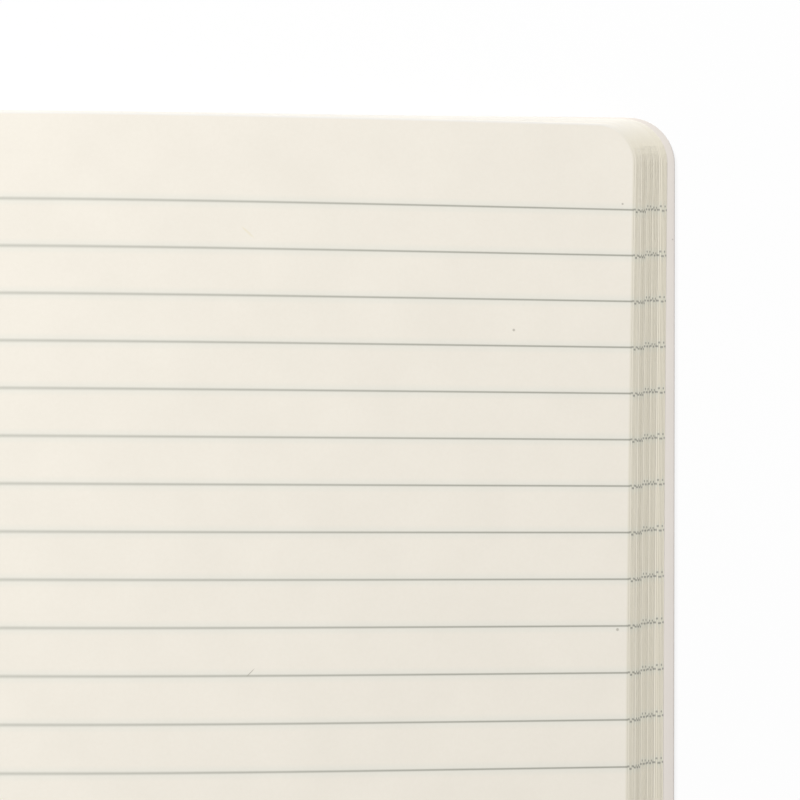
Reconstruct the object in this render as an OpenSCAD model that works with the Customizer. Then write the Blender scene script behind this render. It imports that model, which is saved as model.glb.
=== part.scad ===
/* [Boards] */
// Height of a board, head to tail
board_h = 247.6; // [180:0.1:320]
// Width of a board, spine edge to fore-edge
board_w = 190; // [150:0.1:260]
// Thickness of a board
board_t = 0.5; // [0.3:0.05:1.5]
// Radius of a board's two outer corners
board_corner_r = 7.3; // [3:0.1:15]
// Bare gap between a board's spine edge and the fold it swings on
hinge_gap = 0.3; // [0.3:0.05:2]

/* [Leaves] */
// Folded sections in each half of the open block
sections_per_half = 5; // [2:1:8]
// Leaves in a section
leaves_per_section = 6; // [4:1:12]
// Thickness of one leaf
leaf_t = 0.075; // [0.06:0.001:0.12]
// Radius of a leaf's two outer corners
leaf_corner_r = 6; // [2:0.1:12]
// How far a board stands past the lowest leaf at the fore-edge
fore_square = 1.3; // [0.5:0.1:4]
// How far a board stands past the lowest leaf at the head
head_square = 0.3; // [0.1:0.1:4]
// How far a board stands past the lowest leaf at the tail
tail_square = 1.75; // [0.5:0.05:4]

/* [Open block] */
// Width of the flat spine across all the section backs
spine_w = 6.4; // [5:0.1:14]
// Height of the page's crest above the table
crest_h = 10.25; // [8:0.05:16]
// Distance of the crest from the gutter
crest_x = 83.7; // [60:1:110]
// How far the leaves step out at the fore-edge, top leaf to lowest
fan = 5.6; // [2:0.1:10]
// How far the top leaf lies nearer the tail than the lowest
head_slide = 1.45; // [0:0.05:1.7]
// Gap between the two middle folds, where the pages dive into the gutter
gutter_gap = 0.1; // [0.05:0.05:0.6]
// Share of each section's room that is air
air_share = 0.18; // [0.1:0.01:0.4]

/* [Spine] */
// Thickness of the cloth tape over the spine
tape_t = 0.2; // [0.15:0.05:0.5]
// Width of tape glued to each board
tape_flank = 25; // [12:0.5:40]
// Thickness of the paper lining on the section backs
lining_t = 0.1; // [0.08:0.01:0.4]
// Bare margin of the lining at each edge
lining_margin = 0.4; // [0.2:0.1:1]
// Height of the folds' centre line above the lining
fold_rise = 0.4; // [0.3:0.05:0.8]
// Height of the glue line that joins the folds
glue_h = 0.4; // [0.3:0.05:0.6]
// Thickness of the sewing thread
thread_d = 0.35; // [0.2:0.05:0.4]
// Clearance round the thread in its kerf
thread_clearance = 0.06; // [0.04:0.01:0.15]
// Kerfs sawn across the backs for the thread
stations = 6; // [4:1:9]
// Distance of the end kerfs from head and tail
station_inset = 14; // [8:1:30]

/* [Hidden] */
$fn = 64;

spine_half = spine_w / 2;
hinge_x = spine_half;
board_edge = hinge_x + hinge_gap + board_w;
board_top = tape_t + board_t;
low_leaf_edge = board_edge - fore_square;
top_leaf_edge = low_leaf_edge - fan;
leaf_h = board_h - head_square - tail_square;
leaf_middle_y = (tail_square - head_square) / 2;
stack_h = sections_per_half * leaves_per_section * leaf_t;
backs_z = tape_t + lining_t;
fold_z = max(board_top, backs_z + fold_rise);
lining_w = spine_w - 2 * lining_margin;
glue_w = spine_w - lining_margin;
glue_inset = 1.7;
glue_len = leaf_h - head_slide - 2 * glue_inset;

// The top leaf leaves the gutter steeply, rounds over to the crest and runs down to the fore-edge.
gutter_rise = [0.02, 0.75];
crest_reach_in = 0.48;
crest_reach_out = 0.29;
edge_reach = 0.485;
edge_slope = 0.1;
gutter_crowding = 1.3;
fold_settle = 12;
corner_allowance = 0.15;
gutter_steps = 16;
edge_steps = 12;
all_steps = gutter_steps + edge_steps;

function bezier(a, b, c, d, t) =
    pow(1 - t, 3) * a + 3 * t * pow(1 - t, 2) * b + 3 * t * t * (1 - t) * c + pow(t, 3) * d;

gutter_point = [gutter_gap / 2, fold_z];
crest_point = [crest_x, crest_h];
edge_point = [top_leaf_edge, board_top + stack_h];
edge_run = top_leaf_edge - crest_x;
gutter_handle = gutter_point + [gutter_rise[0] * crest_x, gutter_rise[1] * (crest_h - fold_z)];
crest_handle_in = crest_point - [crest_reach_in * crest_x, 0];
crest_handle_out = crest_point + [crest_reach_out * edge_run, 0];
edge_handle = edge_point + edge_reach * edge_run * [-1, edge_slope];

// One point of the top leaf, counted in steps from the gutter to the fore-edge.
function top_point(i) =
    i <= gutter_steps
        ? let (t = pow(i / gutter_steps, gutter_crowding))
            bezier(gutter_point, gutter_handle, crest_handle_in, crest_point, t)
        : let (t = (i - gutter_steps) / edge_steps)
            bezier(crest_point, crest_handle_out, edge_handle, edge_point, t);

// The same point of the lowest leaf, which lies flat on its board.
function low_point(i) =
    let (share = top_point(i)[0] / top_leaf_edge)
    let (x = spine_half + (low_leaf_edge - spine_half) * share)
    [x, board_top + (fold_z - board_top) * pow(1 - share, fold_settle)];

// The same point at any level between them, 0 at the board and 1 at the top leaf.
function level_point(level, i) = (1 - level) * low_point(i) + level * top_point(i);

function section_floor(s) = s == 0 ? 0 : (s + air_share / 2) / sections_per_half;
function section_roof(s) = s == sections_per_half - 1 ? 1 : (s + 1 - air_share / 2) / sections_per_half;

// The profile of one folded section, seen from the tail, with its rounded back at the spine.
module section_profile(s) {
    floor_line = [for (i = [0 : all_steps]) level_point(section_floor(s), i)];
    roof_line = [for (i = [all_steps : -1 : 0]) level_point(section_roof(s), i)];
    inner = level_point(section_roof(s), 0)[0];
    outer = level_point(section_floor(s), 0)[0];
    fold_in = (outer - inner) / 4;
    back = [[inner + fold_in, backs_z], [outer - fold_in, backs_z]];
    polygon(concat(floor_line, roof_line, back));
}

// A leaf's plan with its two outer corners rounded, reaching past the gutter to the left.
module leaf_plan(edge) {
    translate([edge - leaf_corner_r, leaf_h / 2 - leaf_corner_r]) circle(leaf_corner_r);
    translate([edge - leaf_corner_r, leaf_corner_r - leaf_h / 2]) circle(leaf_corner_r);
    translate([-spine_w, -leaf_h / 2]) square([edge + spine_w - leaf_corner_r, leaf_h]);
    translate([0, leaf_corner_r - leaf_h / 2]) square([edge, leaf_h - 2 * leaf_corner_r]);
}

// How far a section's middle leaf has slid towards the tail.
function slide(s) = head_slide * (s + 0.5) / sections_per_half;

module one_section(s) {
    edge = level_point(section_floor(s), all_steps)[0] + corner_allowance;
    intersection() {
        rotate([90, 0, 0]) linear_extrude(2 * board_h, center = true) section_profile(s);
        translate([0, leaf_middle_y - slide(s), 0])
            linear_extrude(2 * crest_h) leaf_plan(edge);
    }
}

module half_block() {
    for (s = [0 : sections_per_half - 1]) one_section(s);
}

function station_y(i) = (i / (stations - 1) - 0.5) * (leaf_h - 2 * station_inset) + leaf_middle_y;

kerf_w = thread_d + 2 * thread_clearance;
kerf_half = spine_half - lining_margin;

// All the leaves, in ten folded sections glued together along their backs.
module page_block() {
    color("antiquewhite") difference() {
        union() {
            half_block();
            mirror([1, 0, 0]) half_block();
            translate([-glue_w / 2, leaf_middle_y - leaf_h / 2 + glue_inset, fold_z - glue_h / 2])
                cube([glue_w, glue_len, glue_h]);
        }
        for (i = [0 : stations - 1]) translate([-kerf_half, station_y(i) - kerf_w / 2, 0])
            cube([2 * kerf_half, kerf_w, backs_z + kerf_w]);
    }
}

// Link stitches that cross the section backs, one in each kerf.
module sewing_thread() {
    color("ivory") for (i = [0 : stations - 1])
        translate([0, station_y(i), backs_z + thread_clearance + thread_d / 2])
            rotate([0, 90, 0])
                cylinder(d = thread_d, h = 2 * (kerf_half - thread_clearance), center = true, $fn = 8);
}

// Paper strip glued over the backs and the stitches.
module spine_lining() {
    color("linen") translate([-lining_w / 2, leaf_middle_y + lining_margin - leaf_h / 2, tape_t])
        cube([lining_w, leaf_h - 2 * lining_margin, lining_t]);
}

// Cloth strip round the spine, glued to the lining and to the outside of both boards.
module spine_tape() {
    tape_w = 2 * (hinge_x + hinge_gap + tape_flank);
    color("dimgray") translate([-tape_w / 2, -board_h / 2, 0]) cube([tape_w, board_h, tape_t]);
}

// The board on the right of the gutter.
module board() {
    inner = hinge_x + hinge_gap;
    far = board_edge - board_corner_r;
    translate([0, 0, tape_t]) linear_extrude(board_t) {
        for (side = [-1, 1]) translate([far, side * (board_h / 2 - board_corner_r)]) circle(board_corner_r);
        translate([inner, -board_h / 2]) square([far - inner, board_h]);
        translate([inner, board_corner_r - board_h / 2])
            square([board_w, board_h - 2 * board_corner_r]);
    }
}

module back_cover() {
    color("mistyrose") board();
}

module front_cover() {
    color("mistyrose") mirror([1, 0, 0]) board();
}

page_block();
sewing_thread();
spine_lining();
spine_tape();
front_cover();
back_cover();
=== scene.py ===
import math
import random

import bpy
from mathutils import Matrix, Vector


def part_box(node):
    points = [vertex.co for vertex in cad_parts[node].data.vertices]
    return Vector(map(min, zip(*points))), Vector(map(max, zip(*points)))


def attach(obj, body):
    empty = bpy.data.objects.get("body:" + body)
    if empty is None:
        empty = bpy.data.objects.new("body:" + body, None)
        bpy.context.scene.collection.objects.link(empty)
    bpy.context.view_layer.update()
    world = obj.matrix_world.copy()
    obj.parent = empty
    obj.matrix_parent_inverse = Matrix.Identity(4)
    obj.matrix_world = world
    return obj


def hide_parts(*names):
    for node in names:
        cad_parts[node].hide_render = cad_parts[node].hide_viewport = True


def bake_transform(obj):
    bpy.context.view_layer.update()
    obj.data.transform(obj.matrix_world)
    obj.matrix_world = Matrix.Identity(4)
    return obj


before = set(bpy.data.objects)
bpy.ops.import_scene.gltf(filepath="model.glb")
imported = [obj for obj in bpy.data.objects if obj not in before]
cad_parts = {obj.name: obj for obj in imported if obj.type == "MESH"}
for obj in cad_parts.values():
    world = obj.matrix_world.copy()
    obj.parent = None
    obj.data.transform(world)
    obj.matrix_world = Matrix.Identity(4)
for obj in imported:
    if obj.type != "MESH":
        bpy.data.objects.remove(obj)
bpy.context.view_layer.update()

# Camera. It looks nearly straight down on the head half of the right-hand page, from a little nearer
# the tail, so the gutter, the left page and the tail lie outside the picture.
MM = 0.001
CAMERA_PLACE = (150.63 * MM, 68.89 * MM, 228.26 * MM)
CAMERA_LENS = 65.7
CAMERA_TILT = 0.0440
CAMERA_ROLL = 0.0094

bpy.ops.object.camera_add(location=CAMERA_PLACE)
camera = bpy.context.object
camera.rotation_mode = "ZYX"
camera.rotation_euler = (CAMERA_TILT, 0, CAMERA_ROLL)
camera.data.lens = CAMERA_LENS
camera.data.clip_start = 0.01
bpy.context.scene.camera = camera
bpy.context.scene.view_settings.view_transform = "Standard"

# Floor and light. A plain white table under an overcast window: an even light from all round, and one
# large soft lamp at the upper left that shades the steps of the leaves and lets the page fall off.
FLOOR_SIDE = 6.0
FLOOR_GLOW = 0.86
FLOOR_NEAR = 0.5
FLOOR_FAR = 1.4
FLOOR_GAP = 0.02 * MM
FLOOR_CLEAR = 1.5 * MM
SKY_LEVEL = 0.42
LAMP_PLACE = (-0.67, 1.18, 0.98)
LAMP_AIM = (0.10, 0.04, 0)
LAMP_SIDE = 0.45
LAMP_POWER = 27.9


def linear(hex_colour):
    """The linear colour of an sRGB hex value."""
    parts = [int(hex_colour[i:i + 2], 16) / 255 for i in (1, 3, 5)]
    return [p / 12.92 if p <= 0.04045 else ((p + 0.055) / 1.055) ** 2.4 for p in parts] + [1]


def add_node(material, kind, settings=None, links=None):
    """Adds a node, sets its properties and sockets, and joins its sockets to other nodes' outputs."""
    tree = material.node_tree
    node = tree.nodes.new(kind)
    for name, value in (settings or {}).items():
        if isinstance(name, int):
            node.inputs[name].default_value = value
        elif name in node.inputs:
            node.inputs[name].default_value = value
        else:
            setattr(node, name, value)
    for name, source in (links or {}).items():
        tree.links.new(source, node.inputs[name])
    return node


def new_material(name):
    """A material with only its output node, which is returned too."""
    material = bpy.data.materials.new(name)
    material.use_nodes = True
    material.node_tree.nodes.clear()
    return material, material.node_tree.nodes.new("ShaderNodeOutputMaterial")


# Painted table top: matt white, with a glow that only the camera, gloss and glass see, so that the
# background is white and the notebook's soft shadow still shows on it. Far away it is all glow, so
# that it meets the sky without a line. From below it is clear, and it lets the light that starts
# close over it through, so that the covers' outsides can be seen.
table_paint, output = new_material("painted_table_top")
place = add_node(table_paint, "ShaderNodeTexCoord")
away = add_node(table_paint, "ShaderNodeVectorMath", {"operation": "LENGTH"},
                {0: place.outputs["Object"]})
share = add_node(table_paint, "ShaderNodeMapRange",
                 {"From Min": FLOOR_NEAR, "From Max": FLOOR_FAR, "To Min": FLOOR_GLOW, "To Max": 1},
                 {"Value": away.outputs["Value"]})
rays = add_node(table_paint, "ShaderNodeLightPath")
seen = add_node(table_paint, "ShaderNodeMath", {"operation": "MAXIMUM"},
                {0: rays.outputs["Is Camera Ray"], 1: rays.outputs["Is Glossy Ray"]})
seen = add_node(table_paint, "ShaderNodeMath", {"operation": "MAXIMUM"},
                {0: seen.outputs[0], 1: rays.outputs["Is Transmission Ray"]})
share = add_node(table_paint, "ShaderNodeMath", {"operation": "MULTIPLY"},
                 {0: seen.outputs[0], 1: share.outputs[0]})
paint = add_node(table_paint, "ShaderNodeBsdfDiffuse", {"Color": linear("#FAFAFA")})
glow = add_node(table_paint, "ShaderNodeEmission", {"Color": (1, 1, 1, 1), "Strength": 1})
mixed = add_node(table_paint, "ShaderNodeMixShader", {},
                 {0: share.outputs[0], 1: paint.outputs[0], 2: glow.outputs[0]})
geometry = add_node(table_paint, "ShaderNodeNewGeometry")
close = add_node(table_paint, "ShaderNodeMath", {"operation": "LESS_THAN", 1: FLOOR_CLEAR},
                 {0: rays.outputs["Ray Length"]})
close = add_node(table_paint, "ShaderNodeMath", {"operation": "MAXIMUM"},
                 {0: close.outputs[0], 1: geometry.outputs["Backfacing"]})
clear = add_node(table_paint, "ShaderNodeBsdfTransparent")
mixed = add_node(table_paint, "ShaderNodeMixShader", {},
                 {0: close.outputs[0], 1: mixed.outputs[0], 2: clear.outputs[0]})
table_paint.node_tree.links.new(mixed.outputs[0], output.inputs["Surface"])

bpy.ops.mesh.primitive_plane_add(size=FLOOR_SIDE, location=(0, 0, -FLOOR_GAP))
bpy.ops.object.transform_apply(location=True, rotation=True, scale=True)
floor = bpy.context.object
floor.name = "floor"
floor.data.materials.append(table_paint)

sky = bpy.data.worlds.new("even_sky")
sky.use_nodes = True
sky_back = sky.node_tree.nodes["Background"]
sky_rays = add_node(sky, "ShaderNodeLightPath")
sky_level = add_node(sky, "ShaderNodeMapRange", {"To Min": SKY_LEVEL, "To Max": 1},
                     {"Value": sky_rays.outputs["Is Camera Ray"]})
sky_back.inputs["Color"].default_value = (1, 1, 1, 1)
sky.node_tree.links.new(sky_level.outputs[0], sky_back.inputs["Strength"])
bpy.context.scene.world = sky

bpy.ops.object.light_add(type="AREA", location=LAMP_PLACE)
lamp = bpy.context.object
lamp.data.size = LAMP_SIDE
lamp.data.energy = LAMP_POWER
lamp.rotation_euler = (Vector(LAMP_AIM) - Vector(LAMP_PLACE)).to_track_quat("-Z", "Y").to_euler()

# Leaves. Thin cream paper, ruled on both sides before it was folded and cut: three sheets folded
# together make a section of six leaves, and five sections lie on each side of the gutter. Each leaf
# rises steeply from its fold, rounds over to a crest and runs down to the fore-edge and its fan.
SECTIONS = 5
SHEETS = 3
LEAF_PITCH = 0.072 * MM
LEAF_THICKNESS = 0.055 * MM
SECTION_GAP = 0.03 * MM
SPINE_HALF = 3.2 * MM
GUTTER_HALF = 0.05 * MM
# Share of the room by the gutter that is air between sections, so that they show as strata at the head.
GUTTER_AIR = 0.45
FOLD_NEST = 0.08 * MM
CREST_X = 83.7 * MM
TOP_EDGE_X = 186.87 * MM
LOW_EDGE_X = 192.31 * MM
# Shape of the profile: how far its curve reaches from the gutter, the crest and the fore-edge.
GUTTER_LEAN = 0.02
GUTTER_RISE = 0.75
GUTTER_TURN = 0.12 * MM
CREST_REACH_IN = 0.48
CREST_REACH_OUT = 0.29
EDGE_REACH = 0.485
EDGE_SLOPE = 0.1
# How far the fore-edge bows in at the middle of its height.
TOP_SAG = 1.05 * MM
LOW_SAG = 0.58 * MM
LEAF_HEIGHT = 245.55 * MM
LOW_HEAD_Y = 123.5 * MM
# How far the top leaf's head lies below the lowest one's, and how much more towards the gutter.
HEAD_SLIDE = 1.45 * MM
HEAD_SKEW = 0.0063
# The upper leaves take more than their share of the slide, so the middle leaves show past the top one.
SLIDE_CROWDING = 1.6
LEAF_CORNER = 6 * MM
# The lowest section's corners are rounder than the top one's by this much.
CORNER_GROWTH = 0.9 * MM
CORNER_STEPS = 8
HEIGHT_STEPS = 14
CURVE_STEPS = 12
# Where the bright lips between sections stand in the fan, from the top leaf down, and their widths.
LIP_PLACES = (0.030, 0.215, 0.390, 0.575, 0.768)
LIP_WIDTHS = (0.060, 0.050, 0.044, 0.046, 0.056)
# How much each group's leaf edges crowd towards its lower side.
FAN_CROWDING = (1.05, 0.95, 1, 1, 1.3)
FIRST_LINE_Y = 108.71 * MM
LINE_SKEW = 0.00415
# How far each section's ruling lies nearer the head than the top section's, and a sheet's own error
# with its least share. Neighbouring sheets err to opposite sides.
RULING_SHIFTS = (0.62 * MM, 0.60 * MM, 0.38 * MM, 0, 0)
SHEET_ERROR = 0.40 * MM
LEAST_ERROR = 0.1
# How far a leaf's edge strays in the fan and leans from tail to head, and how fast both fade inward.
EDGE_ERROR = 0.025 * MM
EDGE_TURN = 0.04 * MM
EDGE_FADE = 6
# Painted shade: how much more than its own tone an inner sheet of the lowest section is darkened.
LOW_SHADE = 2.4
# Points and levels this close count as one.
NEAR = 0.001 * MM
SAME_LEVEL = 0.001
LEAF_SMOOTH = math.radians(30)

leaves_per_section = 2 * SHEETS
leaf_count = SECTIONS * leaves_per_section
lining_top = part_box("spine_lining")[1].z
board_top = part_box("back_cover")[1].z
crest_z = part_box("page_block")[1].z - LEAF_THICKNESS
tail_y = LOW_HEAD_Y - LEAF_HEIGHT
draw = random.Random(5)


def only(obj):
    """Makes obj the one selected and active object."""
    bpy.ops.object.select_all(action="DESELECT")
    obj.select_set(True)
    bpy.context.view_layer.objects.active = obj


def fan_share(rank):
    """How far out a leaf's edge lies in the fan, 0 to 1. Leaves are counted down from the top leaf."""
    if rank == 0:
        return 0
    starts = [place + width / 2 for place, width in zip(LIP_PLACES, LIP_WIDTHS)]
    ends = [place - width / 2 for place, width in zip(LIP_PLACES[1:], LIP_WIDTHS[1:])] + [1]
    group, place = divmod(rank, leaves_per_section)
    first = 1 if group == 0 else 0
    left = 1 - (place - first) / (leaves_per_section - 1 - first)
    return ends[group] - (ends[group] - starts[group]) * left ** FAN_CROWDING[group]


def leaf_level(section, place):
    """A leaf's height among the leaves at the crest, 0 for the lowest and 1 for the top leaf."""
    def height(s, p):
        return s + (1 - GUTTER_AIR) * p / (leaves_per_section - 1)
    return height(section, place) / height(SECTIONS - 1, leaves_per_section - 1)


def leaf_knots(section, place):
    """A leaf's profile from the gutter out, as curve knots: point, handle before, handle after."""
    level = leaf_level(section, place)
    share = fan_share(leaf_count - 1 - section * leaves_per_section - place)
    floor_z = board_top + LEAF_PITCH / 2
    stack = section * (leaves_per_section * LEAF_PITCH + SECTION_GAP) + place * LEAF_PITCH
    stretch = (LOW_EDGE_X - SPINE_HALF) / TOP_EDGE_X
    run = TOP_EDGE_X - CREST_X
    rise = crest_z - floor_z

    def between(x, z):
        return Vector(((1 - level) * (SPINE_HALF + x * stretch) + level * x, 0, floor_z + level * z))

    gutter = between(GUTTER_HALF, 0)
    gutter_out = between(GUTTER_HALF + GUTTER_LEAN * CREST_X, GUTTER_RISE * rise)
    gutter_in = gutter - GUTTER_TURN * (gutter_out - gutter).normalized()
    crest = between(CREST_X, rise)
    edge = Vector((TOP_EDGE_X + (LOW_EDGE_X - TOP_EDGE_X) * share, 0, floor_z + stack))
    edge_in = edge + EDGE_REACH * run * Vector((-1, 0, EDGE_SLOPE * level))
    crest_in = between((1 - CREST_REACH_IN) * CREST_X, rise)
    crest_out = between(CREST_X + CREST_REACH_OUT * run, rise)
    return [(gutter, gutter_in, gutter_out), (crest, crest_in, crest_out), (edge, edge_in, edge)]


def folded_sheet(section, sheet, side):
    """One folded sheet: its profile as a curve, drawn out from tail to head, with rounded corners."""
    places = leaves_per_section - 1 - sheet, sheet
    upper, lower = [leaf_knots(section, place) for place in places]
    fold = (upper[0][0] + lower[0][0]) / 2
    fold.z = lining_top + LEAF_THICKNESS + sheet * FOLD_NEST
    reach = Vector(((lower[0][0].x - upper[0][0].x) / 3, 0, 0))
    knots = [(point, after, before) for point, before, after in reversed(upper)]
    knots += [(fold, fold - reach, fold + reach)] + lower

    bpy.ops.curve.primitive_bezier_curve_add()
    obj = bpy.context.object
    obj.data.dimensions = "3D"
    obj.data.resolution_u = CURVE_STEPS
    spline = obj.data.splines[0]
    spline.bezier_points.add(len(knots) - len(spline.bezier_points))
    for knot, (point, before, after) in zip(spline.bezier_points, knots):
        knot.handle_left_type = knot.handle_right_type = "FREE"
        knot.co, knot.handle_left, knot.handle_right = point, before, after
    bpy.ops.object.convert(target="MESH")
    mesh = obj.data
    levels = mesh.attributes.new("level", "FLOAT", "POINT")
    for v in mesh.vertices:
        place = places[0] if v.index < len(mesh.vertices) / 2 else places[1]
        levels.data[v.index].value = leaf_level(section, place)

    bpy.ops.object.mode_set(mode="EDIT")
    bpy.ops.mesh.select_all(action="SELECT")
    bpy.ops.transform.translate(value=(0, tail_y, 0))
    for _ in range(HEIGHT_STEPS):
        bpy.ops.mesh.extrude_region_move(
            TRANSFORM_OT_translate={"value": (0, LEAF_HEIGHT / HEIGHT_STEPS, 0)})
    bpy.ops.mesh.select_all(action="DESELECT")
    bpy.ops.object.mode_set(mode="OBJECT")
    for v in mesh.vertices:
        at_edge = min((v.co.xz - knots[i][0].xz).length for i in (0, -1)) < NEAR
        v.select = at_edge and min(v.co.y - tail_y, LOW_HEAD_Y - v.co.y) < NEAR
    bpy.ops.object.mode_set(mode="EDIT")
    bpy.ops.mesh.select_mode(type="VERT")
    corner = LEAF_CORNER + CORNER_GROWTH * (1 - section / (SECTIONS - 1))
    bpy.ops.mesh.bevel(affect="VERTICES", offset=corner, segments=CORNER_STEPS, profile=0.5)
    bpy.ops.object.mode_set(mode="OBJECT")

    at_top = section == SECTIONS - 1 and sheet == 0
    error = 0 if at_top else -(-1) ** sheet * draw.uniform(LEAST_ERROR, 1) * SHEET_ERROR
    # Painted shade: the inner sheets of the lowest section are toned darker, for the shade in their fan.
    tone = draw.uniform(0, 1) + (LOW_SHADE if section == 0 and sheet > 0 else 0)
    stray = {}
    for place in places:
        inner = 0 < place < leaves_per_section - 1
        shift = draw.uniform(-1, 1) * EDGE_ERROR if inner else 0
        turn = draw.uniform(-1, 1) * EDGE_TURN if inner else 0
        stray[leaf_level(section, place)] = shift, turn
    # The paper's looks need the height above the first line, the sheet's tone with its painted shade, and
    # how far in from the leaf's own fore-edge and head a point lies, counted in corner radii.
    mesh.attributes.new("ruling", "FLOAT", "POINT")
    mesh.attributes.new("tone", "FLOAT", "POINT")
    mesh.attributes.new("inset", "FLOAT_VECTOR", "POINT")
    for v in mesh.vertices:
        level = mesh.attributes["level"].data[v.index].value
        on_upper = abs(leaf_level(section, places[0]) - level) < SAME_LEVEL
        edge_x = (upper if on_upper else lower)[2][0].x
        mesh.attributes["inset"].data[v.index].vector = (
            (edge_x - v.co.x) / corner, (LOW_HEAD_Y - v.co.y) / corner, 0)
        up = 2 * (v.co.y - tail_y) / LEAF_HEIGHT - 1
        sag = LOW_SAG + (TOP_SAG - LOW_SAG) * math.sqrt(level)
        shift, turn = stray[min(stray, key=lambda known: abs(known - level))]
        v.co.x += (shift + turn * up) * (v.co.x / LOW_EDGE_X) ** EDGE_FADE
        v.co.x -= sag * (1 - up * up) * v.co.x / LOW_EDGE_X
        skew = HEAD_SKEW * (TOP_EDGE_X - v.co.x) * (1 + up) / 2
        v.co.y -= level ** SLIDE_CROWDING * (HEAD_SLIDE + skew)
        line_y = FIRST_LINE_Y + LINE_SKEW * (v.co.x - TOP_EDGE_X) + RULING_SHIFTS[section] + error
        mesh.attributes["ruling"].data[v.index].value = (line_y - v.co.y) / MM
        mesh.attributes["tone"].data[v.index].value = 0 if at_top else tone
        v.co.x *= side
    bpy.ops.object.mode_set(mode="EDIT")
    bpy.ops.mesh.select_all(action="SELECT")
    bpy.ops.mesh.remove_doubles(threshold=NEAR / 2)
    bpy.ops.mesh.normals_make_consistent(inside=False)
    bpy.ops.object.mode_set(mode="OBJECT")
    thick = obj.modifiers.new("thickness", "SOLIDIFY")
    thick.thickness, thick.offset = LEAF_THICKNESS, 0
    thick.material_offset_rim = 1
    mesh.materials.append(paper)
    mesh.materials.append(cut_paper)
    bpy.ops.object.modifier_apply(modifier=thick.name)
    return obj


# Uncoated wood-free paper: matt and faintly cloudy, with a fine felt grain and a stray speck. The
# ruling is pale grey-green ink, thin, softer towards the crest, and it runs off the fore-edge.
CLOUD_SIZE = 9 * MM
FELT_GRAIN = 0.6 * MM
# How far a sheet of full tone is mixed towards yellowed paper. Above a tone of 1 it is painted shade.
SHEET_TONE = 0.12
# Painted shade: the paper is darkened over this width from its fore-edge, for the shade in the fan's
# steps.
EDGE_SHADE_WIDTH = 0.4 * MM
# Painted light: the thin sheet is lightened over this width from its cut head edge, where light enters it.
LIT_WIDTH = 0.35 * MM
LIT_LEVEL = 0.8
# The ruling is measured in millimetres, as its attribute is.
LINE_PITCH = 7.14
LINE_WIDTH = 0.23
LINES = 32
# The ink's edge is this soft near the fore-edge, and softer by the second value at the crest.
LINE_SOFT = 0.19
LINE_SOFTER = 0.42
# How far the ink has crept sideways on the cut fore-edge.
LINE_CREEP = 0.03
# A faint greenish stain, where the thin ink has bled this far into the sheet.
BLEED_WIDTH = 1.2
BLEED_LEVEL = 0.2
# The ink is thinner by this share at the crest and beyond.
LINE_FADE = 0.3
# Flecks in the pulp of the right-hand leaves: x, y, half length, half width, turn in degrees.
FLECKS = ((168.0, 89.65, 0.2, 0.2, 0), (184.3, 43.9, 0.22, 0.22, 0), (184.9, 109.6, 0.16, 0.16, 0),
          (128.65, 37.55, 0.75, 0.07, 46))
FIBRE = (127.35, 103.8, 1.2, 0.16, -42)
# How dark a fleck and a fibre are, and the share of their size over which they fade out.
FLECK_LEVEL = 0.5
FIBRE_LEVEL = 0.35
FLECK_SOFT = 0.3

paper, output = new_material("uncoated_ruled_paper")
place = add_node(paper, "ShaderNodeTexCoord")
cloud = add_node(paper, "ShaderNodeTexNoise", {"Scale": 1 / CLOUD_SIZE, "Detail": 3},
                 {"Vector": place.outputs["Object"]})
grain = add_node(paper, "ShaderNodeTexNoise", {"Scale": 1 / FELT_GRAIN, "Detail": 4, "Roughness": 0.7},
                 {"Vector": place.outputs["Object"]})
tone = add_node(paper, "ShaderNodeAttribute", {"attribute_name": "tone"})
ruling = add_node(paper, "ShaderNodeAttribute", {"attribute_name": "ruling"})
cloudy = add_node(paper, "ShaderNodeMapRange", {"From Min": 0.3, "From Max": 0.7},
                  {"Value": cloud.outputs["Fac"]})
stock = add_node(paper, "ShaderNodeMix",
                 {"data_type": "RGBA", 6: linear("#F4EEE2"), 7: linear("#F7F1E5")},
                 {0: cloudy.outputs[0]})
toned = add_node(paper, "ShaderNodeMath", {"operation": "MULTIPLY", 1: SHEET_TONE},
                 {0: tone.outputs["Fac"]})
stock = add_node(paper, "ShaderNodeMix", {"data_type": "RGBA", 7: linear("#DDD3BC")},
                 {0: toned.outputs[0], 6: stock.outputs[2]})
# How far a point lies out towards the fore-edge and the head, round the corner too: 1 on the cut edge
# itself. The direction says which of the two edges it faces.
inset = add_node(paper, "ShaderNodeAttribute", {"attribute_name": "inset"})
past = add_node(paper, "ShaderNodeVectorMath", {"operation": "SUBTRACT", 0: (1, 1, 0)},
                {1: inset.outputs["Vector"]})
past = add_node(paper, "ShaderNodeVectorMath", {"operation": "MAXIMUM"}, {0: past.outputs[0]})
reach = add_node(paper, "ShaderNodeVectorMath", {"operation": "LENGTH"}, {0: past.outputs[0]})
facing = add_node(paper, "ShaderNodeVectorMath", {"operation": "NORMALIZE"}, {0: past.outputs[0]})
facing = add_node(paper, "ShaderNodeSeparateXYZ", {}, {0: facing.outputs[0]})
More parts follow.
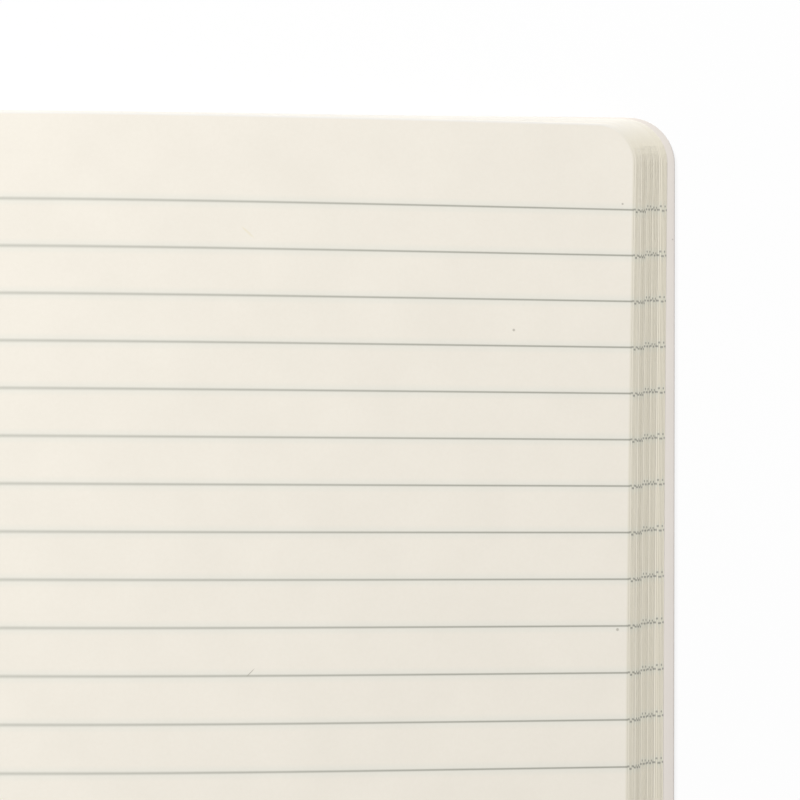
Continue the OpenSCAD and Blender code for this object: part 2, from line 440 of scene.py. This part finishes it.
# Painted shade: a darker band along each leaf's fore-edge, for the shade between the fan's steps.
edge_shade_band = add_node(paper, "ShaderNodeMapRange",
                   {"From Min": 1 - EDGE_SHADE_WIDTH / LEAF_CORNER, "From Max": 1},
                   {"Value": reach.outputs["Value"]})
edge_shade_band = add_node(paper, "ShaderNodeMath", {"operation": "MULTIPLY"},
                   {0: edge_shade_band.outputs[0], 1: facing.outputs["X"]})
stock = add_node(paper, "ShaderNodeMix", {"data_type": "RGBA", 7: linear("#E6E0CE")},
                 {0: edge_shade_band.outputs[0], 6: stock.outputs[2]})
grainy = add_node(paper, "ShaderNodeMapRange", {"From Min": 0.35, "From Max": 0.65, "To Max": 0.10},
                  {"Value": grain.outputs["Fac"]})
stock = add_node(paper, "ShaderNodeMix", {"data_type": "RGBA", 7: linear("#E6DFD0")},
                 {0: grainy.outputs[0], 6: stock.outputs[2]})
# Painted light: a lighter band along each leaf's head edge, for light that enters through the cut.
lit = add_node(paper, "ShaderNodeMapRange",
               {"From Min": 1 - LIT_WIDTH / LEAF_CORNER, "From Max": 1, "To Max": LIT_LEVEL},
               {"Value": reach.outputs["Value"]})
upward = add_node(paper, "ShaderNodeMath", {"operation": "POWER", 1: 3}, {0: facing.outputs["Y"]})
lit = add_node(paper, "ShaderNodeMath", {"operation": "MULTIPLY"},
               {0: lit.outputs[0], 1: upward.outputs[0]})
stock = add_node(paper, "ShaderNodeMix", {"data_type": "RGBA", 7: linear("#F9F8F5")},
                 {0: lit.outputs[0], 6: stock.outputs[2]})
nearest = add_node(paper, "ShaderNodeMath",
                   {"operation": "WRAP", 1: -LINE_PITCH / 2, 2: LINE_PITCH / 2},
                   {0: ruling.outputs["Fac"]})
away = add_node(paper, "ShaderNodeMath", {"operation": "ABSOLUTE"}, {0: nearest.outputs[0]})
axes = add_node(paper, "ShaderNodeSeparateXYZ", {}, {0: place.outputs["Object"]})
across = add_node(paper, "ShaderNodeMath", {"operation": "ABSOLUTE"}, {0: axes.outputs[0]})
inward = add_node(paper, "ShaderNodeMapRange", {"From Min": TOP_EDGE_X, "From Max": CREST_X},
                  {"Value": across.outputs[0]})
feather = add_node(paper, "ShaderNodeMath", {"operation": "POWER", 1: 2}, {0: inward.outputs[0]})
soft = add_node(paper, "ShaderNodeMath", {"operation": "MULTIPLY_ADD", 1: LINE_SOFTER, 2: LINE_SOFT},
                {0: feather.outputs[0]})
half_width = add_node(paper, "ShaderNodeMath",
                      {"operation": "MULTIPLY_ADD", 1: LINE_CREEP, 2: LINE_WIDTH / 2},
                      {0: edge_shade_band.outputs[0]})
half_soft = add_node(paper, "ShaderNodeMath", {"operation": "MULTIPLY_ADD", 1: 0.5},
                     {0: soft.outputs[0], 2: half_width.outputs[0]})
inside = add_node(paper, "ShaderNodeMath", {"operation": "SUBTRACT"},
                  {0: half_soft.outputs[0], 1: away.outputs[0]})
stroke = add_node(paper, "ShaderNodeMath", {"operation": "DIVIDE", "use_clamp": True},
                  {0: inside.outputs[0], 1: soft.outputs[0]})
below = add_node(paper, "ShaderNodeMath", {"operation": "GREATER_THAN", 1: -LINE_PITCH / 2},
                 {0: ruling.outputs["Fac"]})
above = add_node(paper, "ShaderNodeMath", {"operation": "LESS_THAN", 1: (LINES - 0.5) * LINE_PITCH},
                 {0: ruling.outputs["Fac"]})
ruled = add_node(paper, "ShaderNodeMath", {"operation": "MULTIPLY"},
                 {0: below.outputs[0], 1: above.outputs[0]})
stroke = add_node(paper, "ShaderNodeMath", {"operation": "MULTIPLY"},
                  {0: stroke.outputs[0], 1: ruled.outputs[0]})
faded = add_node(paper, "ShaderNodeMath", {"operation": "MULTIPLY_ADD", 1: -LINE_FADE, 2: 1},
                 {0: feather.outputs[0]})
stroke = add_node(paper, "ShaderNodeMath", {"operation": "MULTIPLY"},
                  {0: stroke.outputs[0], 1: faded.outputs[0]})
bleed = add_node(paper, "ShaderNodeMapRange",
                 {"From Min": BLEED_WIDTH, "From Max": 0, "To Max": BLEED_LEVEL},
                 {"Value": away.outputs[0]})
bleed = add_node(paper, "ShaderNodeMath", {"operation": "MULTIPLY"},
                 {0: bleed.outputs[0], 1: ruled.outputs[0]})
stained = add_node(paper, "ShaderNodeMix", {"data_type": "RGBA", 7: linear("#C8DAD6")},
                   {0: bleed.outputs[0], 6: stock.outputs[2]})
inked = add_node(paper, "ShaderNodeMix", {"data_type": "RGBA", 7: linear("#A7A59A")},
                 {0: stroke.outputs[0], 6: stained.outputs[2]})


def fleck(material, where, spot):
    """A mask for a long or round fleck that lies flat in the sheet, all through the stack."""
    x, y, length, width, turn = spot
    local = add_node(material, "ShaderNodeMapping",
                     {"vector_type": "TEXTURE", "Location": (x * MM, y * MM, 0),
                      "Rotation": (0, 0, math.radians(turn)), "Scale": (length * MM, width * MM, 1)},
                     {"Vector": where.outputs["Object"]})
    far = add_node(material, "ShaderNodeVectorMath", {"operation": "LENGTH"}, {0: local.outputs[0]})
    return add_node(material, "ShaderNodeMapRange",
                    {"From Min": 1 + FLECK_SOFT, "From Max": 1 - FLECK_SOFT},
                    {"Value": far.outputs["Value"]})


for spot in FLECKS:
    mask = fleck(paper, place, spot)
    faint = add_node(paper, "ShaderNodeMath", {"operation": "MULTIPLY", 1: FLECK_LEVEL},
                     {0: mask.outputs[0]})
    inked = add_node(paper, "ShaderNodeMix", {"data_type": "RGBA", 7: linear("#8E897C")},
                     {0: faint.outputs[0], 6: inked.outputs[2]})
mask = fleck(paper, place, FIBRE)
faint = add_node(paper, "ShaderNodeMath", {"operation": "MULTIPLY", 1: FIBRE_LEVEL},
                 {0: mask.outputs[0]})
inked = add_node(paper, "ShaderNodeMix", {"data_type": "RGBA", 7: linear("#EDE2C0")},
                 {0: faint.outputs[0], 6: inked.outputs[2]})
felt = add_node(paper, "ShaderNodeBump", {"Strength": 0.25, "Distance": 0.01 * MM},
                {"Height": grain.outputs["Fac"]})
surface = add_node(paper, "ShaderNodeBsdfPrincipled", {"Roughness": 0.9, "Specular IOR Level": 0.2},
                   {"Base Color": inked.outputs[2], "Normal": felt.outputs[0]})
paper.node_tree.links.new(surface.outputs[0], output.inputs["Surface"])

# Cut edge of the same paper: the guillotine leaves open fibre ends, a little darker and warmer, by a
# different amount on each leaf and along it.
CUT_STREAK = 4 * MM
LEAF_SHARE = 0.6

cut_paper, output = new_material("cut_paper_edge")
place = add_node(cut_paper, "ShaderNodeTexCoord")
fibres = add_node(cut_paper, "ShaderNodeTexNoise", {"Scale": 1 / CUT_STREAK, "Detail": 2},
                  {"Vector": place.outputs["Object"]})
leaf = add_node(cut_paper, "ShaderNodeAttribute", {"attribute_name": "level"})
leaf = add_node(cut_paper, "ShaderNodeTexWhiteNoise", {"noise_dimensions": "1D"},
                {"W": leaf.outputs["Fac"]})
cut_part = add_node(cut_paper, "ShaderNodeMath", {"operation": "MULTIPLY", 1: 1 - LEAF_SHARE},
                    {0: fibres.outputs["Fac"]})
cut_fac = add_node(cut_paper, "ShaderNodeMath", {"operation": "MULTIPLY_ADD", 1: LEAF_SHARE},
                   {0: leaf.outputs["Value"], 2: cut_part.outputs[0]})
cut_tint = add_node(cut_paper, "ShaderNodeMix",
                    {"data_type": "RGBA", 6: linear("#DFD6C1"), 7: linear("#F6EFE0")},
                    {0: cut_fac.outputs[0]})
surface = add_node(cut_paper, "ShaderNodeBsdfPrincipled",
                   {"Roughness": 0.95, "Specular IOR Level": 0.1},
                   {"Base Color": cut_tint.outputs[2]})
cut_paper.node_tree.links.new(surface.outputs[0], output.inputs["Surface"])

for side, half in ((1, "right"), (-1, "left")):
    for section in range(SECTIONS):
        sheets = [folded_sheet(section, sheet, side) for sheet in range(SHEETS)]
        only(sheets[0])
        for obj in sheets:
            obj.select_set(True)
        bpy.ops.object.join()
        leaves = bpy.context.object
        leaves.name = f"section_{half}_{section + 1}"
        bpy.ops.object.shade_smooth_by_angle(angle=LEAF_SMOOTH)
        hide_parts("page_block")
        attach(leaves, "block")

# Thread and lining. The sections' backs are link-stitched with soft cotton and faced with a strip of
# creped paper, both glued down before the tape goes on. The solids are right and get their finish here.
LINING_CREPE = 0.8 * MM
# Half the length over which the plies turn once: diagonal bands of scale 1 repeat every tau / 10 units.
THREAD_TWIST = 0.35 * MM

# Soft-laid cotton thread: dull off-white plies with small shadows between them.
cotton, output = new_material("twisted_cotton_thread")
place = add_node(cotton, "ShaderNodeTexCoord")
plies = add_node(cotton, "ShaderNodeTexWave",
                 {"bands_direction": "DIAGONAL", "Scale": math.tau / 20 / THREAD_TWIST, "Distortion": 1.0},
                 {"Vector": place.outputs["Object"]})
ply_tint = add_node(cotton, "ShaderNodeMix",
                    {"data_type": "RGBA", 6: linear("#D9D5C8"), 7: linear("#F2EFE6")},
                    {0: plies.outputs["Fac"]})
ply_relief = add_node(cotton, "ShaderNodeBump", {"Strength": 0.6, "Distance": 0.05 * MM},
                      {"Height": plies.outputs["Fac"]})
surface = add_node(cotton, "ShaderNodeBsdfPrincipled", {"Roughness": 0.95, "Specular IOR Level": 0.1},
                   {"Base Color": ply_tint.outputs[2], "Normal": ply_relief.outputs[0]})
cotton.node_tree.links.new(surface.outputs[0], output.inputs["Surface"])

# Creped paper: buff and matt, with fine wrinkles along the spine.
crepe, output = new_material("creped_lining_paper")
place = add_node(crepe, "ShaderNodeTexCoord")
stretch = add_node(crepe, "ShaderNodeMapping", {"Scale": (1, 0.2, 1)},
                   {"Vector": place.outputs["Object"]})
wrinkles = add_node(crepe, "ShaderNodeTexNoise", {"Scale": 1 / LINING_CREPE, "Detail": 3},
                    {"Vector": stretch.outputs[0]})
crepe_tint = add_node(crepe, "ShaderNodeMix",
                      {"data_type": "RGBA", 6: linear("#CDBFA6"), 7: linear("#DDD0B8")},
                      {0: wrinkles.outputs["Fac"]})
crepe_relief = add_node(crepe, "ShaderNodeBump", {"Strength": 0.5, "Distance": 0.06 * MM},
                        {"Height": wrinkles.outputs["Fac"]})
surface = add_node(crepe, "ShaderNodeBsdfPrincipled", {"Roughness": 0.9, "Specular IOR Level": 0.2},
                   {"Base Color": crepe_tint.outputs[2], "Normal": crepe_relief.outputs[0]})
crepe.node_tree.links.new(surface.outputs[0], output.inputs["Surface"])

for node, material in (("sewing_thread", cotton), ("spine_lining", crepe)):
    for material_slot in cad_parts[node].material_slots:
        material_slot.material = material

# Covers. Two thin boards of coated card, pale pinkish grey, cut with round corners: the knife has
# pressed their edges over a little. Each is glued to the tape along its spine edge.
BOARD_CORNER = 7.3 * MM
BOARD_EDGE = 0.2 * MM
BOARD_CORNER_STEPS = 12
BOARD_EDGE_STEPS = 3
# A grey fleck in the pulp of the right-hand cover, beside the fan.
COVER_FLECK = (193.13, 104.51, 0.13, 0.13, 0)
COVER_FLECK_LEVEL = 0.35
MOTTLE_SIZE = 5 * MM
CARD_FIBRE = 0.5 * MM
BOARD_SMOOTH = math.radians(35)

# Smooth coated card: pale and even, with a low sheen, a faint mottle and short fibres.
card, output = new_material("smooth_pale_card")
place = add_node(card, "ShaderNodeTexCoord")
mottle = add_node(card, "ShaderNodeTexNoise", {"Scale": 1 / MOTTLE_SIZE, "Detail": 4},
                  {"Vector": place.outputs["Object"]})
fibre = add_node(card, "ShaderNodeTexNoise", {"Scale": 1 / CARD_FIBRE, "Detail": 3},
                 {"Vector": place.outputs["Object"]})
card_tint = add_node(card, "ShaderNodeMix",
                     {"data_type": "RGBA", 6: linear("#E4DDD6"), 7: linear("#EBE4DC")},
                     {0: mottle.outputs["Fac"]})
mask = fleck(card, place, COVER_FLECK)
faint = add_node(card, "ShaderNodeMath", {"operation": "MULTIPLY", 1: COVER_FLECK_LEVEL},
                 {0: mask.outputs[0]})
card_tint = add_node(card, "ShaderNodeMix", {"data_type": "RGBA", 7: linear("#8E897C")},
                     {0: faint.outputs[0], 6: card_tint.outputs[2]})
card_relief = add_node(card, "ShaderNodeBump", {"Strength": 0.2, "Distance": 0.01 * MM},
                       {"Height": fibre.outputs["Fac"]})
surface = add_node(card, "ShaderNodeBsdfPrincipled", {"Roughness": 0.55, "Specular IOR Level": 0.4},
                   {"Base Color": card_tint.outputs[2], "Normal": card_relief.outputs[0]})
card.node_tree.links.new(surface.outputs[0], output.inputs["Surface"])


def cover_board(node, body):
    """A board over the CAD node's own box: its outer corners rounded, then every rim edge eased."""
    near = 0.1 * MM
    low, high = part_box(node)
    outer_x = max(low.x, high.x, key=abs)
    bpy.ops.object.select_all(action="DESELECT")
    bpy.ops.mesh.primitive_cube_add(size=1, location=(low + high) / 2, scale=high - low)
    obj = bpy.context.object
    bpy.ops.object.transform_apply(location=True, rotation=True, scale=True)
    mesh = obj.data

    def bevel_edges(wanted, offset, segments):
        bpy.ops.object.mode_set(mode="EDIT")
        bpy.ops.mesh.select_mode(type="EDGE")
        bpy.ops.mesh.select_all(action="DESELECT")
        bpy.ops.object.mode_set(mode="OBJECT")
        for e in mesh.edges:
            e.select = wanted(*[mesh.vertices[i].co for i in e.vertices])
        bpy.ops.object.mode_set(mode="EDIT")
        bpy.ops.mesh.bevel(offset=offset, segments=segments, profile=0.5)
        bpy.ops.object.mode_set(mode="OBJECT")

    bevel_edges(lambda a, b: abs(a.z - b.z) > near and abs(a.x - outer_x) < near,
                BOARD_CORNER, BOARD_CORNER_STEPS)
    bevel_edges(lambda a, b: abs(a.z - b.z) < near, BOARD_EDGE, BOARD_EDGE_STEPS)
    bpy.ops.object.shade_smooth_by_angle(angle=BOARD_SMOOTH)
    obj.name = node + "_board"
    mesh.materials.append(card)
    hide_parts(node)
    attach(obj, body)


cover_board("back_cover", "back")
cover_board("front_cover", "front")

# Spine tape. A strip of coated black bookcloth, glued round the spine and on to both covers. It is built
# flat, with narrow columns at each edge of the spine, where the real strip folds when a cover swings. Its
# two halves meet under the gutter.
TAPE_COLUMNS = 16
TAPE_ROWS = 24
FOLD_REACH = 0.3 * MM
TAPE_SMOOTH = math.radians(40)
# Spacing of the cloth's threads: bands of scale 1 repeat every tau / 20 units.
WEAVE_PITCH = 0.5 * MM
tape_low, tape_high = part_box("spine_tape")

# Coated cotton bookcloth: near black and dull, its plain weave half filled, so a fine grain shows.
cloth, output = new_material("coated_black_bookcloth")
place = add_node(cloth, "ShaderNodeTexCoord")
warp = add_node(cloth, "ShaderNodeTexWave",
                {"bands_direction": "X", "Scale": math.tau / 20 / WEAVE_PITCH, "Distortion": 0.6},
                {"Vector": place.outputs["Object"]})
weft = add_node(cloth, "ShaderNodeTexWave",
                {"bands_direction": "Y", "Scale": math.tau / 20 / WEAVE_PITCH, "Distortion": 0.6},
                {"Vector": place.outputs["Object"]})
weave = add_node(cloth, "ShaderNodeMath", {"operation": "MULTIPLY"},
                 {0: warp.outputs["Fac"], 1: weft.outputs["Fac"]})
cloth_tint = add_node(cloth, "ShaderNodeMix",
                      {"data_type": "RGBA", 6: linear("#1D1D20"), 7: linear("#34343A")},
                      {0: weave.outputs[0]})
cloth_relief = add_node(cloth, "ShaderNodeBump", {"Strength": 0.7, "Distance": 0.05 * MM},
                        {"Height": weave.outputs[0]})
surface = add_node(cloth, "ShaderNodeBsdfPrincipled", {"Roughness": 0.6, "Specular IOR Level": 0.4},
                   {"Base Color": cloth_tint.outputs[2], "Normal": cloth_relief.outputs[0]})
cloth.node_tree.links.new(surface.outputs[0], output.inputs["Surface"])


def tape_half(name, side):
    """One half of the tape, with narrow columns where it folds and wider ones where it lies flat."""
    hinge_x = SPINE_HALF
    bpy.ops.object.select_all(action="DESELECT")
    bpy.ops.mesh.primitive_grid_add(x_subdivisions=TAPE_COLUMNS, y_subdivisions=TAPE_ROWS, size=1)
    obj = bpy.context.object
    mesh = obj.data
    width, height = tape_high.x, tape_high.y - tape_low.y
    fold_columns = TAPE_COLUMNS // 2
    for v in mesh.vertices:
        column = round((v.co.x + 0.5) * TAPE_COLUMNS)
        if column == 0:
            x = 0
        elif column <= fold_columns + 1:
            x = hinge_x + FOLD_REACH * (2 * (column - 1) / fold_columns - 1)
        else:
            far = (column - fold_columns - 1) / (TAPE_COLUMNS - fold_columns - 1)
            x = hinge_x + FOLD_REACH + (width - hinge_x - FOLD_REACH) * far
        v.co = (side * x, v.co.y * height, (tape_low.z + tape_high.z) / 2)
    bpy.ops.object.mode_set(mode="EDIT")
    bpy.ops.mesh.select_all(action="SELECT")
    bpy.ops.mesh.normals_make_consistent(inside=False)
    bpy.ops.object.mode_set(mode="OBJECT")
    thick = obj.modifiers.new("thickness", "SOLIDIFY")
    thick.thickness, thick.offset = tape_high.z - tape_low.z, 0
    bpy.ops.object.modifier_apply(modifier=thick.name)
    bpy.ops.object.shade_smooth_by_angle(angle=TAPE_SMOOTH)
    obj.name = name
    mesh.materials.append(cloth)
    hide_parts("spine_tape")
    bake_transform(obj)


tape_half("spine_tape_right", 1)
tape_half("spine_tape_left", -1)
